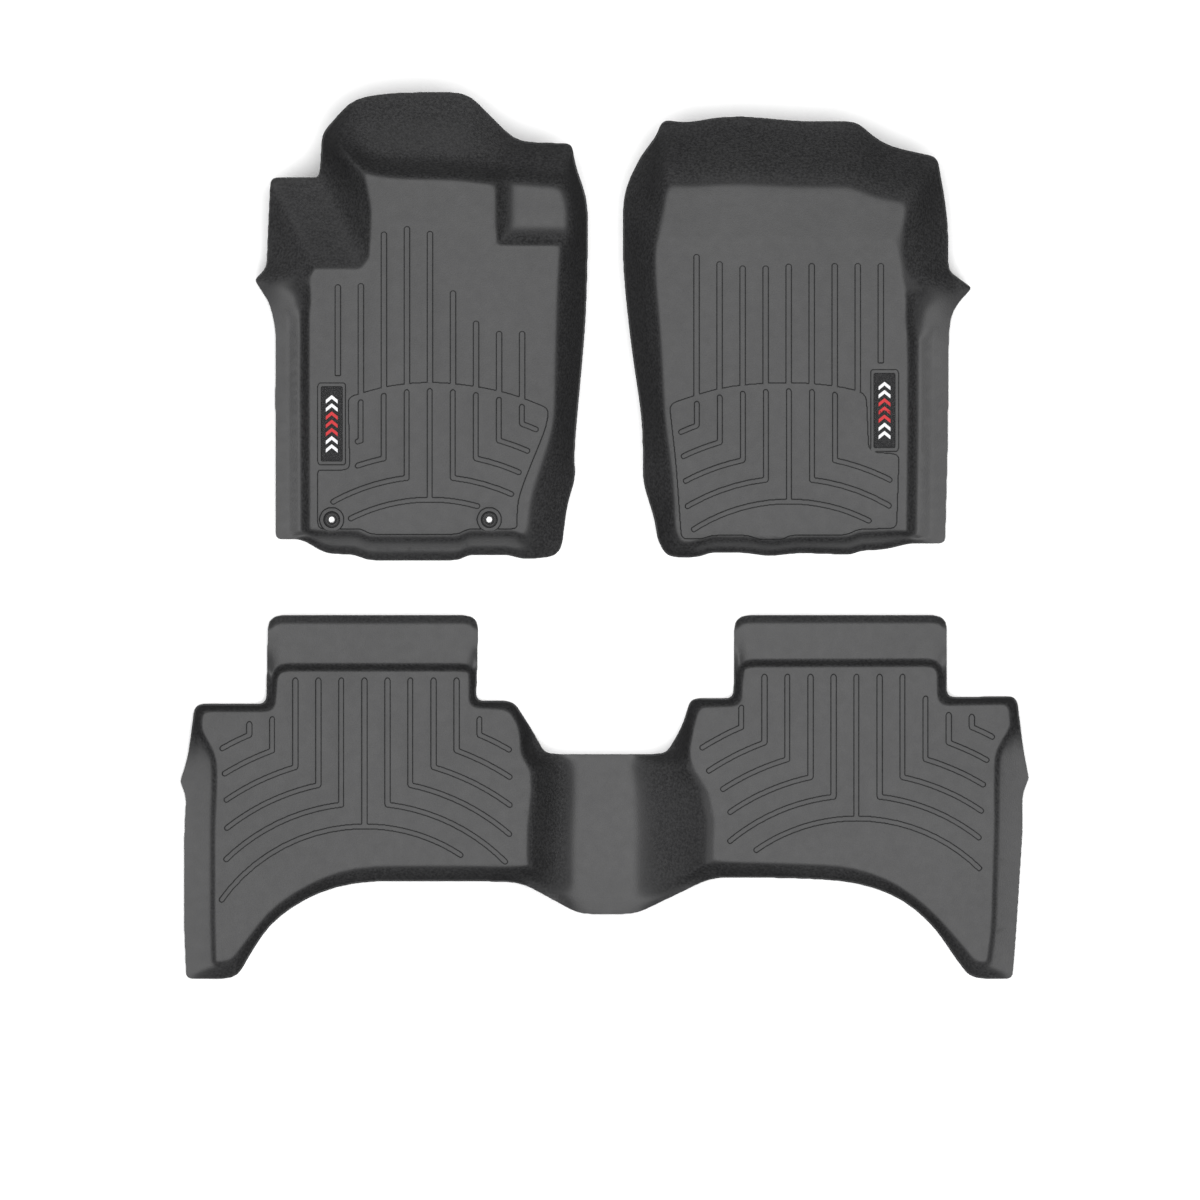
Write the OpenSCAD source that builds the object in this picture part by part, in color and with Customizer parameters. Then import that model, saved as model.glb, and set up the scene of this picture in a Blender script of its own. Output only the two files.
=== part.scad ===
// Floor mat set: three moulded liners for a vehicle cabin, with two badges and two retention eyelets.
// Millimetres. +Y points to the front of the vehicle, +X to its right, +Z up. The set is laid out flat
// on one surface at Z = 0, centred on the origin, with the two front liners ahead of the rear one.

/* [Sheet] */
// Thickness of the formed side walls
wall_t = 3; // [2.5:0.5:3.5]
// Thickness of the floor at its lands
land_t = 5.5; // [5.5:0.5:6.5]
// Depth of the drain channels below the lands
channel_depth = 2.2; // [1.6:0.2:2.6]
// Depth of the reservoir pans below the lands
pan_depth = 3; // [2.6:0.2:3.4]
// Height of the chevron ribs above what they stand on
rib_h = 2.4; // [1.6:0.2:2.6]

/* [Pattern] */
// Spacing of the channels and of the ribs
pitch = 38; // [36:1:40]
// Width of one drain channel
channel_w = 9; // [7:1:12]
// Width of one chevron rib
rib_w = 8; // [6:1:10]
// Radius of the lowest arc of each rib fan
fan_r = 290; // [270:10:310]
// Gap between the rib ends and the side of a pan
rib_gap = 10; // [7:1:12]

/* [Wall heights] */
// Top of the toe boards
toe_h = 152; // [130:2:170]
// Top of the dead pedal
pedal_h = 120; // [100:5:130]
// Walls beside the centre tunnel
tunnel_h = 90; // [75:5:100]
// Hump of the rear liner
hump_h = 88; // [70:2:100]
// Flanges over the door sills
sill_h = 24; // [20:1:30]
// Flanges of the rear liner over the door sills
rear_sill_h = 16; // [14:1:22]
// Low lips along the rear edges
lip_h = 25; // [20:1:30]
// Raised block beside the driver's right foot
block_h = 30; // [20:1:34]

/* [Eyelets] */
// Radius of the hole that takes a retention post
post_r = 5; // [4.5:0.25:5.5]
// Radius of an eyelet's serrated flange
eyelet_r = 14; // [13:0.5:15]
// Height of an eyelet's flange
flange_t = 2; // [1.5:0.25:2.5]
// Teeth round one flange
teeth = 24; // [18:1:30]

/* [Badges] */
// Width of a badge plate
plate_w = 36; // [30:1:38]
// Length of a badge plate
plate_l = 124; // [110:2:128]
// Thickness of a badge plate
plate_t = 1.2; // [1:0.1:1.4]
// Height of the clear dome on a plate
dome_t = 1; // [0.8:0.1:1.2]

/* [Hidden] */

// Where each liner's own origin lies in the set
driver_at = [-310, 345, 0];
passenger_at = [300, 325, 0];
rear_at = [0, -430, 0];

channel_z = land_t - channel_depth;
pan_z = land_t - pan_depth;
corner_steps = 3;
arc_steps = 10;
corner_share = 0.45;
rib_end = 0.45;
cut = 1;

// Eyelets of the driver's liner: x of each, and the y that they share
eyelet_x = [-140, 120];
eyelet_y = -318;
boss_r = 20;
boss_gap = 6;
boss_top = land_t + 2;
sleeve_r = 10;
sleeve_gap = 0.3;
recess_r = eyelet_r + 1.5;
recess_z = 3.4;
ring_base = 0.8;
ring_gap = 0.1;
ring_t = recess_z - ring_base - ring_gap;

// Block beside the driver's right foot: near corner and size at the floor, then at its top
block_at = [131, 131];
block_foot = [116, 102];
block_top_at = [150, 158];
block_top = [104, 102];
block_skin = 0.4;

// Serrations of an eyelet's flange
groove_w = 1;
groove_depth = 0.8;

// Badge pockets, and the middle of each in its liner
pocket_w = plate_w + 10;
pocket_l = plate_l + 12;
pocket_r = 6;
plate_r = 3;
dome_inset = 0.5;
driver_badge_at = [-140, -160];
passenger_badge_at = [162, -118];

// Cross-sections of a side, from the floor's edge to the rim. Each pair is the share of the way out
// and the share of the way up at one line along the side.
WALL = [[0.10, 0.03], [0.35, 0.25], [0.70, 0.65]];
TOE = [[0.06, 0.16], [0.14, 0.40], [0.66, 0.72]];
RAMP = [[0.25, 0.25], [0.50, 0.50], [0.75, 0.75]];
BOARD = [[0.48, 0.10], [0.60, 0.24], [0.80, 0.60]];
LIP = [[0.18, 0.34], [0.45, 0.48], [0.68, 0.55]];
SILL = [[0.16, 0.85], [0.26, 1.02], [0.60, 0.84]];
REAR_SILL = [[0.08, 0.48], [0.16, 0.54], [0.60, 0.80]];
BAR = [[0.06, 0.58], [0.09, 0.68], [0.86, 0.72]];
HUMP = [[0.08, 0.10], [0.36, 0.78], [0.56, 1.00]];
SLOPE = [[0.08, 0.06], [0.56, 0.86], [0.70, 1.00]];

// One row for each corner of a liner, clockwise from above:
// [rim x, rim y, rim height, corner radius, floor edge x, floor edge y, cross-section]
driver_rows = [
    [-240, 245, pedal_h, 10, -170, 96, RAMP],
    [-162, 245, pedal_h, 5, -92, 96, RAMP],
    [-160, 252, pedal_h + 3, 3, -80, 112, RAMP],
    [-159, 258, pedal_h + 5, 3, -78, 190, RAMP],
    [-158, 266, pedal_h + 8, 3, -90, 245, RAMP],
    [-155, 318, toe_h - 12, 15, -112, 284, WALL],
    [-105, 374, toe_h - 2, 25, -88, 262, TOE],
    [-40, 385, toe_h, 40, -40, 252, TOE],
    [84, 385, toe_h, 25, 60, 250, TOE],
    [165, 304, toe_h - 12, 25, 125, 246, TOE],
    [256, 301, toe_h - 18, 10, 238, 236, TOE],
    [263, 262, toe_h - 28, 20, 249, 212, WALL],
    [284, 205, tunnel_h + 18, 50, 246, 180, WALL],
    [282, 100, tunnel_h + 4, 60, 236, 100, WALL],
    [279, 5, tunnel_h, 60, 232, 0, WALL],
    [260, -205, tunnel_h - 5, 40, 232, -150, WALL],
    [262, -250, tunnel_h - 10, 15, 206, -225, WALL],
    [248, -295, tunnel_h - 18, 30, 186, -282, WALL],
    [238, -378, tunnel_h - 35, 24, 180, -346, WALL],
    [178, -384, lip_h + 4, 15, 162, -338, LIP],
    [150, -376, lip_h, 10, 146, -338, LIP],
    [86, -376, lip_h, 10, 86, -338, LIP],
    [70, -385, lip_h, 10, 70, -347, LIP],
    [-80, -385, lip_h, 10, -80, -347, LIP],
    [-102, -376, lip_h, 10, -96, -338, LIP],
    [-150, -374, lip_h, 15, -142, -338, LIP],
    [-190, -350, lip_h, 15, -170, -338, LIP],
    [-232, -350, sill_h - 2, 6, -178, -336, SILL],
    [-233, -110, sill_h, 20, -179, -110, SILL],
    [-232, -5, sill_h, 20, -179, 20, SILL],
    [-242, 38, sill_h + 8, 15, -178, 52, SILL],
    [-267, 77, sill_h + 28, 4, -175, 84, RAMP],
    [-247, 98, sill_h + 54, 12, -173, 90, RAMP],
    [-244, 165, sill_h + 88, 20, -171, 93, RAMP],
];
driver_hub = [110, -60];

passenger_rows = [
    [-205, 360, toe_h - 6, 12, -200, 166, BOARD],
    [-165, 355, toe_h - 3, 20, -165, 162, BOARD],
    [-90, 368, toe_h - 1, 50, -90, 160, BOARD],
    [20, 357, toe_h - 1, 40, 20, 160, BOARD],
    [115, 357, toe_h - 3, 15, 105, 160, BOARD],
    [160, 318, toe_h - 12, 35, 145, 160, BOARD],
    [248, 299, toe_h - 18, 12, 176, 164, BOARD],
    [266, 200, tunnel_h + 22, 60, 184, 150, WALL],
    [267, 112, tunnel_h - 2, 12, 190, 112, WALL],
    [306, 84, sill_h + 34, 4, 197, 80, RAMP],
    [270, 44, sill_h + 10, 30, 201, 44, SILL],
    [267, -30, sill_h, 40, 202, -30, SILL],
    [267, -150, sill_h, 60, 202, -150, SILL],
    [262, -337, sill_h - 2, 8, 200, -322, SILL],
    [205, -337, lip_h, 12, 190, -318, LIP],
    [160, -348, lip_h, 20, 152, -319, LIP],
    [125, -349, lip_h, 8, 120, -320, LIP],
    [105, -356, lip_h, 8, 102, -328, LIP],
    [15, -353, lip_h, 20, 15, -328, LIP],
    [-28, -359, lip_h, 20, -28, -335, LIP],
    [-66, -353, lip_h, 12, -64, -328, LIP],
    [-125, -352, lip_h, 12, -124, -328, LIP],
    [-145, -360, lip_h + 4, 10, -142, -334, LIP],
    [-198, -360, tunnel_h - 50, 18, -170, -338, WALL],
    [-213, -330, tunnel_h - 35, 12, -182, -318, WALL],
    [-217, -300, tunnel_h - 30, 20, -184, -286, WALL],
    [-237, -235, tunnel_h - 20, 20, -188, -215, WALL],
    [-237, -140, tunnel_h - 10, 40, -204, -130, WALL],
    [-258, 0, tunnel_h - 2, 60, -208, 0, WALL],
    [-271, 130, tunnel_h + 10, 60, -219, 110, WALL],
    [-269, 240, toe_h - 32, 30, -218, 150, WALL],
    [-243, 297, toe_h - 17, 25, -214, 162, WALL],
    [-215, 333, toe_h - 10, 15, -208, 166, BOARD],
];
passenger_hub = [0, -60];

// The two halves of the rear liner meet along this line on top of the hump
seam_y = [70, 20, -60, -140, -193];

rear_left_rows = [
    [-555, 299, lip_h + 13, 22, -544, 210, BAR],
    [-208, 299, lip_h + 13, 22, -219, 210, BAR],
    [-210, 205, lip_h + 8, 20, -221, 194, WALL],
    [-212, 158, lip_h + 6, 12, -222, 149, WALL],
    [-150, 158, lip_h + 8, 14, -157, 144, WALL],
    [-118, 108, hump_h - 33, 20, -140, 118, WALL],
    [-98, 72, hump_h - 6, 12, -134, 75, HUMP],
    [-60, 70, hump_h, 8, -127, 58, HUMP],
    [0, seam_y[0], hump_h, 0, -121, 40, HUMP],
    [0, seam_y[1], hump_h, 0, -120, 10, HUMP],
    [0, seam_y[2], hump_h, 0, -126, -50, HUMP],
    [0, seam_y[3], hump_h, 0, -127, -96, HUMP],
    [0, seam_y[4], hump_h, 0, -125, -112, HUMP],
    [-42, -193, hump_h - 2, 20, -127, -115, HUMP],
    [-138, -141, lip_h + 18, 25, -150, -116, WALL],
    [-236, -139, lip_h + 6, 30, -236, -114, WALL],
    [-405, -139, lip_h + 6, 60, -402, -114, WALL],
    [-482, -161, lip_h + 6, 50, -472, -136, WALL],
    [-548, -205, lip_h + 6, 40, -545, -180, WALL],
    [-585, -260, lip_h + 6, 30, -597, -246, WALL],
    [-606, -300, lip_h + 6, 22, -616, -270, WALL],
    [-690, -300, rear_sill_h, 8, -642, -276, REAR_SILL],
    [-694, -200, rear_sill_h, 20, -644, -200, REAR_SILL],
    [-693, -50, rear_sill_h, 20, -644, -50, REAR_SILL],
    [-690, 0, rear_sill_h + 2, 15, -642, 0, REAR_SILL],
    [-700, 25, rear_sill_h + 4, 0, -641, 24, REAR_SILL],
    [-688, 62, rear_sill_h + 6, 20, -642, 66, REAR_SILL],
    [-680, 118, lip_h + 10, 10, -666, 108, WALL],
    [-676, 153, lip_h + 10, 14, -664, 142, WALL],
    [-558, 153, lip_h + 10, 12, -546, 142, WALL],
];
rear_left_hub = [-480, -20];

rear_right_rows = [
    [214, 299, lip_h + 13, 22, 227, 217, BAR],
    [565, 299, lip_h + 13, 22, 554, 218, BAR],
    [564, 164, lip_h + 10, 14, 552, 152, WALL],
    [680, 166, lip_h + 10, 14, 667, 154, WALL],
    [685, 124, lip_h + 10, 10, 671, 113, WALL],
    [690, 84, rear_sill_h + 6, 20, 646, 72, REAR_SILL],
    [700, 30, rear_sill_h + 4, 0, 645, 30, REAR_SILL],
    [689, 3, rear_sill_h + 2, 15, 645, 3, REAR_SILL],
    [690, -51, rear_sill_h, 20, 645, -50, REAR_SILL],
    [678, -240, rear_sill_h, 30, 640, -220, REAR_SILL],
    [673, -300, rear_sill_h, 8, 632, -276, REAR_SILL],
    [604, -300, lip_h + 6, 22, 612, -272, WALL],
    [580, -268, lip_h + 6, 15, 595, -250, WALL],
    [540, -209, lip_h + 6, 40, 534, -183, WALL],
    [484, -164, lip_h + 6, 40, 472, -138, WALL],
    [408, -139, lip_h + 6, 50, 402, -114, WALL],
    [300, -134, lip_h + 6, 40, 300, -110, WALL],
    [177, -133, lip_h + 14, 25, 200, -108, WALL],
    [52, -193, hump_h - 2, 20, 184, -106, SLOPE],
    [0, seam_y[4], hump_h, 0, 180, -104, SLOPE],
    [0, seam_y[3], hump_h, 0, 180, -80, SLOPE],
    [0, seam_y[2], hump_h, 0, 182, -40, SLOPE],
    [0, seam_y[1], hump_h, 0, 172, 6, SLOPE],
    [0, seam_y[0], hump_h, 0, 148, 44, SLOPE],
    [62, 70, hump_h, 8, 142, 58, SLOPE],
    [102, 72, hump_h - 6, 12, 138, 76, SLOPE],
    [128, 116, hump_h - 33, 20, 146, 118, WALL],
    [142, 162, lip_h + 8, 12, 157, 148, WALL],
    [212, 162, lip_h + 6, 12, 225, 151, WALL],
    [214, 205, lip_h + 8, 20, 226, 196, WALL],
];
rear_right_hub = [480, -20];

// Outlines of the reservoir pans: [x, y, corner radius], clockwise
driver_pan = [
    [-113, -116, 10], [-50, -97, 40], [22, -90, 40], [95, -97, 40], [160, -111, 30],
    [219, -135, 12], [213, -168, 25], [178, -253, 40], [166, -290, 30], [166, -333, 8],
    [86, -333, 8], [68, -342, 8], [-76, -342, 8], [-92, -333, 8],
    [-163, -333, 10], [-163, -236, 5], [-110, -236, 12],
];
passenger_pan = [
    [-193, -107, 12], [-105, -78, 45], [5, -70, 55], [90, -78, 40], [132, -90, 14],
    [136, -186, 14], [186, -190, 10],
    [182, -312, 10], [118, -314, 8], [100, -323, 8], [6, -324, 8], [-8, -331, 8], [-44, -331, 8],
    [-62, -324, 8], [-122, -324, 8], [-142, -330, 8], [-173, -330, 10], [-182, -205, 30],
];

// Drain channels: [steps from the middle one, y at the front end, y at the rear end]
driver_channels = [
    [-4, 70, -80], [-3, 72, -112], [-2, 157, -104], [-1, 166, -100], [0, 158, -100], [1, 60, -100],
    [2, 10, -108], [3, -7, -116], [4, -7, -125],
];
driver_middle = 22;
driver_peak = -285;

// Chevron ribs: [steps from the middle one, y of the stem's end, reach of the left and right arms]
driver_ribs = [
    [-3, 0, 150, 0], [-2, 0, 134, 0], [-1, 0, 166, 0], [0, 0, 134, 100],
    [1, 0, 0, 260], [2, 0, 0, 260], [3, 0, 0, 260], [4, 0, 0, 260],
];

passenger_channels = [
    [-4, 140, -100], [-3, 128, -90], [-2, 121, -82], [-1, 121, -80], [0, 124, -80], [1, 125, -80],
    [2, 125, -84], [3, 125, -92], [4, 125, -40],
];
passenger_middle = 4;
passenger_peak = -268;
passenger_ribs = [
    [-4, 0, 260, 0], [-3, 0, 260, 0], [-2, 0, 260, 0], [-1, 0, 260, 0], [0, 0, 160, 160],
    [1, 0, 0, 260], [2, 0, 0, 260],
];

rear_left_middle = -396;
rear_left_peak = -49;
rear_left_ribs = [
    [-5, 124, 238, 0], [-4, 132, 234, 0], [-3, 196, 231, 0], [-2, 196, 230, 0], [-1, 196, 231, 0],
    [0, 196, 238, 162], [1, 196, 0, 235], [2, 196, 0, 242], [3, 196, 0, 243], [4, 196, 0, 243],
    [5, 132, 0, 242],
];
rear_right_middle = 416;
rear_right_peak = -36;
rear_right_ribs = [
    [-5, 151, 258, 0], [-4, 202, 247, 0], [-3, 202, 224, 0], [-2, 202, 212, 0], [-1, 202, 212, 0],
    [0, 202, 169, 205], [1, 202, 0, 205], [2, 202, 0, 209], [3, 166, 0, 212], [4, 139, 0, 218],
    [5, 136, 0, 227],
];

function unit(v) = v / norm(v);
function flat(p) = [p[0], p[1]];

// The corner at q, turned through a curve that starts and ends up to r away from it
function turn(p, q, s, r) =
    r == 0 ? [q] :
    let (
        a = q + unit(p - q) * min(r, corner_share * norm(p - q)),
        c = q + unit(s - q) * min(r, corner_share * norm(s - q))
    )
    [for (i = [0:corner_steps]) let (t = i / corner_steps)
        a * (1 - t) * (1 - t) + q * 2 * t * (1 - t) + c * t * t];

function rounded(points, radii) =
    let (n = len(points))
    [for (i = [0:n - 1]) each turn(points[(i + n - 1) % n], points[i], points[(i + 1) % n], radii[i])];

function outline(rows) = rounded([for (w = rows) [w[0], w[1]]], [for (w = rows) w[2]]);

// The lines that run round a liner, from the floor's edge to the rim
function side_line(rows, share) = rounded(
    [for (w = rows)
        let (out = share == 0 ? 0 : share == 4 ? 1 : w[6][share - 1][0],
             up = share == 0 ? 0 : share == 4 ? 1 : w[6][share - 1][1])
        [w[4] + (w[0] - w[4]) * out, w[5] + (w[1] - w[5]) * out, land_t + (w[2] - land_t) * up]],
    [for (w = rows) w[3]]);

// The sheet's outer face below a chain of [out, up] points: each point moved square to the chain
function square_to(a, b) = unit([b[1] - a[1], a[0] - b[0]]);
function under(chain, i) =
    let (n1 = square_to(chain[i - 1], chain[i]), n2 = square_to(chain[i], chain[i + 1]))
    chain[i] + (n1 + n2) * wall_t / (1 + n1 * n2);

// A moulded tray: a flat floor, and a side of constant thickness all round it
module tray(rows, hub) {
    lines = [for (m = [0:4]) side_line(rows, m)];
    n = len(lines[0]);
    sections = [for (j = [0:n - 1])
        let (
            foot = flat(lines[0][j]),
            out = unit(flat(lines[4][j]) - foot),
            chain = [for (m = [0:4]) [(flat(lines[m][j]) - foot) * out, lines[m][j][2]]],
            aside = [for (m = [0:4]) flat(lines[m][j]) - foot - out * chain[m][0]],
            lean = square_to(chain[3], chain[4]),
            rim = chain[4] - [lean[0] * wall_t, 0],
            upper = [chain[0], chain[1], chain[2], chain[3], rim],
            lower = [[0, 0], under(chain, 1), under(chain, 2), under(chain, 3), rim + lean * wall_t]
        )
        [for (face = [upper, lower]) [for (m = [0:4])
            let (p = foot + aside[m] + out * face[m][0]) [p[0], p[1], face[m][1]]]]];
    points = [
        for (face = [0, 1]) for (m = [0:4]) for (j = [0:n - 1]) sections[j][face][m],
        [hub[0], hub[1], land_t],
        [hub[0], hub[1], 0],
    ];
    low = 5 * n;
    faces = [
        for (m = [0:3]) for (j = [0:n - 1]) let (a = m * n + j, b = m * n + (j + 1) % n)
            each [[a, a + n, b + n], [a, b + n, b]],
        for (m = [0:3]) for (j = [0:n - 1]) let (a = low + m * n + j, b = low + m * n + (j + 1) % n)
            each [[a, b + n, a + n], [a, b, b + n]],
        for (j = [0:n - 1]) let (a = 4 * n + j, b = 4 * n + (j + 1) % n)
            each [[b, a, a + low], [b, a + low, b + low]],
        for (j = [0:n - 1]) [2 * low, j, (j + 1) % n],
        for (j = [0:n - 1]) [2 * low + 1, low + (j + 1) % n, low + j],
    ];
    polyhedron(points = points, faces = faces, convexity = 6);
}

module channel_2d(x, top, bottom) {
    translate([x - channel_w / 2, bottom]) square([channel_w, top - channel_w / 2 - bottom]);
    translate([x, top - channel_w / 2]) circle(d = channel_w, $fn = 32);
}

// One rib: a stem, then an arm that follows an arc to the left, the right or both
module rib_2d(middle, peak, rib) {
    r = fan_r + abs(rib[0]) * pitch;
    x = rib[0] * pitch;
    low = sqrt(r * r - x * x);
    translate([middle, peak - fan_r]) {
        translate([x - rib_w / 2, low - rib_w / 2])
            square([rib_w, rib[1] - peak + fan_r - low + rib_w / 2]);
        for (side = [-1, 1]) if (rib[(side + 5) / 2] > 0) {
            start = asin(abs(x) / r);
            finish = asin(rib[(side + 5) / 2] / r);
            angles = [for (i = [0:arc_steps]) start + (finish - start) * i / arc_steps];
            polygon([
                for (a = angles) (r + rib_w / 2) * [side * sin(a), cos(a)],
                for (i = [arc_steps:-1:0])
                    (r - rib_w / 2) * [side * sin(angles[i]), cos(angles[i])],
            ]);
        }
    }
}

module round_ends() {
    offset(r = rib_end * rib_w, $fn = 16) offset(delta = -rib_end * rib_w) children();
}

module badge_2d(w, l, r) {
    hull() for (sx = [-1, 1], sy = [-1, 1])
        translate([sx * (w / 2 - r), sy * (l / 2 - r)]) circle(r = r, $fn = 24);
}

module driver_pan_2d() polygon(outline(driver_pan));

module passenger_pan_2d() polygon(outline(passenger_pan));

// The raised block beside the driver's right foot, shrunk by inset for its hollow back
module block(inset) {
    hull() {
        translate([block_at[0] + inset, block_at[1] + inset, -inset])
            cube([block_foot[0] - inset, block_foot[1] - inset, block_skin]);
        translate([block_top_at[0] + inset, block_top_at[1] + inset, block_h - inset - block_skin])
            cube([block_top[0] - inset, block_top[1] - inset, block_skin]);
    }
}

module driver_liner() {
    color("#3a3b3c") translate(driver_at) difference() {
        union() {
            difference() {
                tray(driver_rows, driver_hub);
                translate([0, 0, channel_z]) linear_extrude(land_t) for (c = driver_channels)
                    channel_2d(driver_middle + c[0] * pitch, c[1], c[2]);
                translate([0, 0, pan_z]) linear_extrude(land_t) driver_pan_2d();
                translate([driver_badge_at[0], driver_badge_at[1], channel_z])
                    linear_extrude(land_t) badge_2d(pocket_w, pocket_l, pocket_r);
            }
            translate([0, 0, pan_z - cut]) linear_extrude(rib_h + cut) round_ends() difference() {
                intersection() {
                    offset(delta = -rib_gap) driver_pan_2d();
                    for (rib = driver_ribs) rib_2d(driver_middle, driver_peak, rib);
                }
                for (x = eyelet_x) translate([x, eyelet_y]) circle(r = boss_r + boss_gap, $fn = 48);
            }
            for (x = eyelet_x) translate([x, eyelet_y, cut])
                cylinder(r = boss_r, h = boss_top - cut, $fn = 64);
            block(0);
        }
        for (x = eyelet_x) translate([x, eyelet_y, 0]) {
            translate([0, 0, -cut]) cylinder(r = sleeve_r + sleeve_gap, h = boss_top + 2 * cut, $fn = 64);
            translate([0, 0, -cut]) cylinder(r = recess_r, h = recess_z + cut, $fn = 64);
        }
        block(wall_t);
    }
}

module passenger_liner() {
    color("#3a3b3c") translate(passenger_at) union() {
        difference() {
            tray(passenger_rows, passenger_hub);
            translate([0, 0, channel_z]) linear_extrude(land_t) for (c = passenger_channels)
                channel_2d(passenger_middle + c[0] * pitch, c[1], c[2]);
            translate([0, 0, pan_z]) linear_extrude(land_t) passenger_pan_2d();
            translate([passenger_badge_at[0], passenger_badge_at[1], channel_z])
                linear_extrude(land_t) badge_2d(pocket_w, pocket_l, pocket_r);
        }
        translate([0, 0, pan_z - cut]) linear_extrude(rib_h + cut) round_ends() intersection() {
            offset(delta = -rib_gap) passenger_pan_2d();
            for (rib = passenger_ribs) rib_2d(passenger_middle, passenger_peak, rib);
        }
    }
}

module rear_ribs() {
    translate([0, 0, land_t - cut]) linear_extrude(rib_h + cut) round_ends() {
        for (rib = rear_left_ribs) rib_2d(rear_left_middle, rear_left_peak, rib);
        for (rib = rear_right_ribs) rib_2d(rear_right_middle, rear_right_peak, rib);
    }
}

module rear_liner() {
    color("#3a3b3c") translate(rear_at) union() {
        tray(rear_left_rows, rear_left_hub);
        tray(rear_right_rows, rear_right_hub);
        rear_ribs();
    }
}

module badge_plate(liner_at, at) {
    translate([liner_at[0] + at[0], liner_at[1] + at[1], channel_z])
        linear_extrude(plate_t) badge_2d(plate_w, plate_l, plate_r);
}

module badge_dome(liner_at, at) {
    translate([liner_at[0] + at[0], liner_at[1] + at[1], channel_z + plate_t]) linear_extrude(dome_t)
        badge_2d(plate_w - 2 * dome_inset, plate_l - 2 * dome_inset, plate_r - dome_inset);
}

module eyelet(x) {
    translate(driver_at + [x, eyelet_y, 0]) difference() {
        union() {
            translate([0, 0, boss_top]) cylinder(r = eyelet_r, h = flange_t, $fn = 96);
            translate([0, 0, ring_base]) cylinder(r = sleeve_r, h = boss_top - ring_base + cut, $fn = 64);
        }
        translate([0, 0, ring_base - cut])
            cylinder(r = post_r, h = boss_top + flange_t - ring_base + 2 * cut, $fn = 64);
        for (i = [0:teeth - 1]) rotate(i * 360 / teeth)
            translate([sleeve_r, -groove_w / 2, boss_top + flange_t - groove_depth])
                cube([eyelet_r, groove_w, groove_depth + cut]);
    }
}

module lock_ring(x) {
    translate(driver_at + [x, eyelet_y, ring_base]) difference() {
        cylinder(r = eyelet_r + 1, h = ring_t, $fn = 64);
        translate([0, 0, -cut]) cylinder(r = sleeve_r, h = ring_t + 2 * cut, $fn = 64);
    }
}

module driver_badge_plate() color("#17181a") badge_plate(driver_at, driver_badge_at);
module driver_badge_dome() color("#8a8d92") badge_dome(driver_at, driver_badge_at);
module passenger_badge_plate() color("#17181a") badge_plate(passenger_at, passenger_badge_at);
module passenger_badge_dome() color("#8a8d92") badge_dome(passenger_at, passenger_badge_at);
module left_eyelet() color("#1d1e20") eyelet(eyelet_x[0]);
module right_eyelet() color("#1d1e20") eyelet(eyelet_x[1]);
module left_lock_ring() color("#1d1e20") lock_ring(eyelet_x[0]);
module right_lock_ring() color("#1d1e20") lock_ring(eyelet_x[1]);

driver_liner();
passenger_liner();
rear_liner();
driver_badge_plate();
driver_badge_dome();
passenger_badge_plate();
passenger_badge_dome();
left_eyelet();
right_eyelet();
left_lock_ring();
right_lock_ring();
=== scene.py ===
"""Looks of the floor mat set: three moulded liners, two badges and two retention eyelets.

Each liner's shape is read from its CAD node: a fine height map of its upper side, split into the broad
form, which is smoothed as a moulding is, and the crisp relief, whose edges become mesh lines.
"""
import math

import bpy
import numpy as np
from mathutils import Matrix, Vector
from mathutils.bvhtree import BVHTree
from mathutils.geometry import delaunay_2d_cdt


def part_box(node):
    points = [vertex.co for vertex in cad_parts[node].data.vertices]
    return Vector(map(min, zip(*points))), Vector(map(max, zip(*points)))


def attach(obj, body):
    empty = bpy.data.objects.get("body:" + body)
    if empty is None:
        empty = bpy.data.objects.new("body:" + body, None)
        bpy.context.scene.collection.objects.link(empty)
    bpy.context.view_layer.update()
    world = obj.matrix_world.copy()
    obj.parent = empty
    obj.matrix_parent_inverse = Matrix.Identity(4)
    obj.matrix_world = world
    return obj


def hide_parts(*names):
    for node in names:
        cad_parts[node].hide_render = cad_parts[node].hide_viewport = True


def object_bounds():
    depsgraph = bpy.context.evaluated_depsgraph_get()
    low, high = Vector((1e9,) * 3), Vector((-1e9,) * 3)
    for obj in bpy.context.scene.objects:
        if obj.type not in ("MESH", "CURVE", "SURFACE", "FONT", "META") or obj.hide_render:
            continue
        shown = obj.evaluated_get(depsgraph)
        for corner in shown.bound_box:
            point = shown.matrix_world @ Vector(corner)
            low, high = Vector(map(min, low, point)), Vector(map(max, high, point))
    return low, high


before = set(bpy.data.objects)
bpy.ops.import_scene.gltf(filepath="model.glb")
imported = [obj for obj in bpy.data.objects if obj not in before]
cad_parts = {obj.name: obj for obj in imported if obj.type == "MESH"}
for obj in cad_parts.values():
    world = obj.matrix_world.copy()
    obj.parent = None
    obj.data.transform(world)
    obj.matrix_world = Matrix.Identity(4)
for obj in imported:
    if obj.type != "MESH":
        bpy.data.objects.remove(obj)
cad_box = [list(map(float, corner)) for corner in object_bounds()]

# ---------------------------------------------------------------- sizes, in metres
MM = 0.001
CELL = 1.0 * MM            # step of a height map
MARGIN = 20                # cells kept free round a liner in its height map
WALL = 3.0 * MM            # thickness of a formed wall
FORM_BLUR = 2.6            # softness of the form's creases, in cells
RELIEF_BLUR = 0.85         # softness of the relief's edges, in cells
EDGE_BLUR = 2.0            # softness of the outline, in cells
BEVEL_LEVELS = (0.08, 0.5, 0.92)
HOLE_SIDES = 64
POINT_STEPS = ((16, 0.0), (8, 0.004), (4, 0.016), (2, 0.07))
UNDER_STEPS = ((16, 0.0), (8, 0.008), (4, 0.03))
RIM_SHARES = (0.12, 0.5, 0.88)
RIM_SWELL = 0.18           # how far the cut edge bulges, in cells
PROBE = 0.2                # step for reading a slope, in cells
SHARP_ANGLE = 50
THINNEST = 0.004           # height of the flattest triangle kept, in cells
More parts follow.
